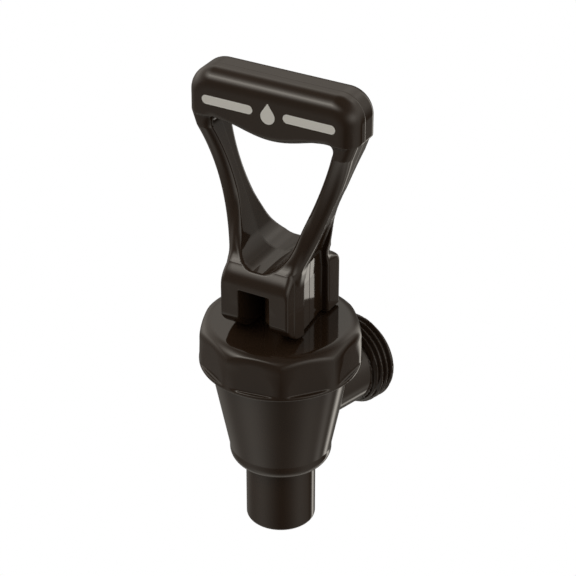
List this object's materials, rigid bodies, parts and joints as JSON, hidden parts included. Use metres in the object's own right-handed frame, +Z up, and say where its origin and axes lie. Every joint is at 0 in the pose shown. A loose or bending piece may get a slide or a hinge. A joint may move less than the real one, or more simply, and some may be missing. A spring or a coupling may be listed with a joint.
{
  "type": "beverage dispenser spigot",
  "caption": "Self-closing dispenser spigot with a tapered body, faceted bonnet nut, threaded side inlet, short spout and a triangular loop pull handle with a grip bar.",
  "frame": {"origin": "middle of the inlet's end face, on the inlet's axis", "axes": "+Y along the inlet and out of it, towards the tank; +Z up along the stem, away from the spout"},
  "size_m": [0.0452, 0.0514, 0.1244],
  "materials": {
    "black_plastic": "gloss",
    "silicone": "matt",
    "steel": "satin"
  },
  "bodies": {
    "faucet_body": {"body": "black_plastic", "bonnet": "black_plastic", "seat_cup": "silicone"},
    "slip_ring": {"slip_washer": "steel", "spring": "steel"},
    "stem_body": {"stem": "black_plastic"},
    "handle_body": {"handle": "black_plastic", "handle_pin": "steel"}
  },
  "joints": [
    {"name": "handle_swivel", "type": "hinge", "parent": "faucet_body", "child": "slip_ring", "pos_m": [0, -0.031, 0], "axis": [0, 0, 1], "continuous": true},
    {"name": "stem_lift", "type": "slide", "parent": "slip_ring", "child": "stem_body", "axis": [0, 0, 1], "range_m": [0, 0.0033], "deforming": ["spring", "seat_cup"]},
    {"name": "handle_tilt", "type": "hinge", "parent": "stem_body", "child": "handle_body", "pos_m": [0, -0.031, 0.0323], "axis": [0.9632, 0.2689, 0], "range_deg": [0, 40], "stiffness_Nm_per_rad": 0.0243, "springref_deg": -50.94}
  ],
  "couplings": [
    {"joint": "stem_lift", "follows": "handle_tilt", "m_per_rad": 0.0045}
  ]
}
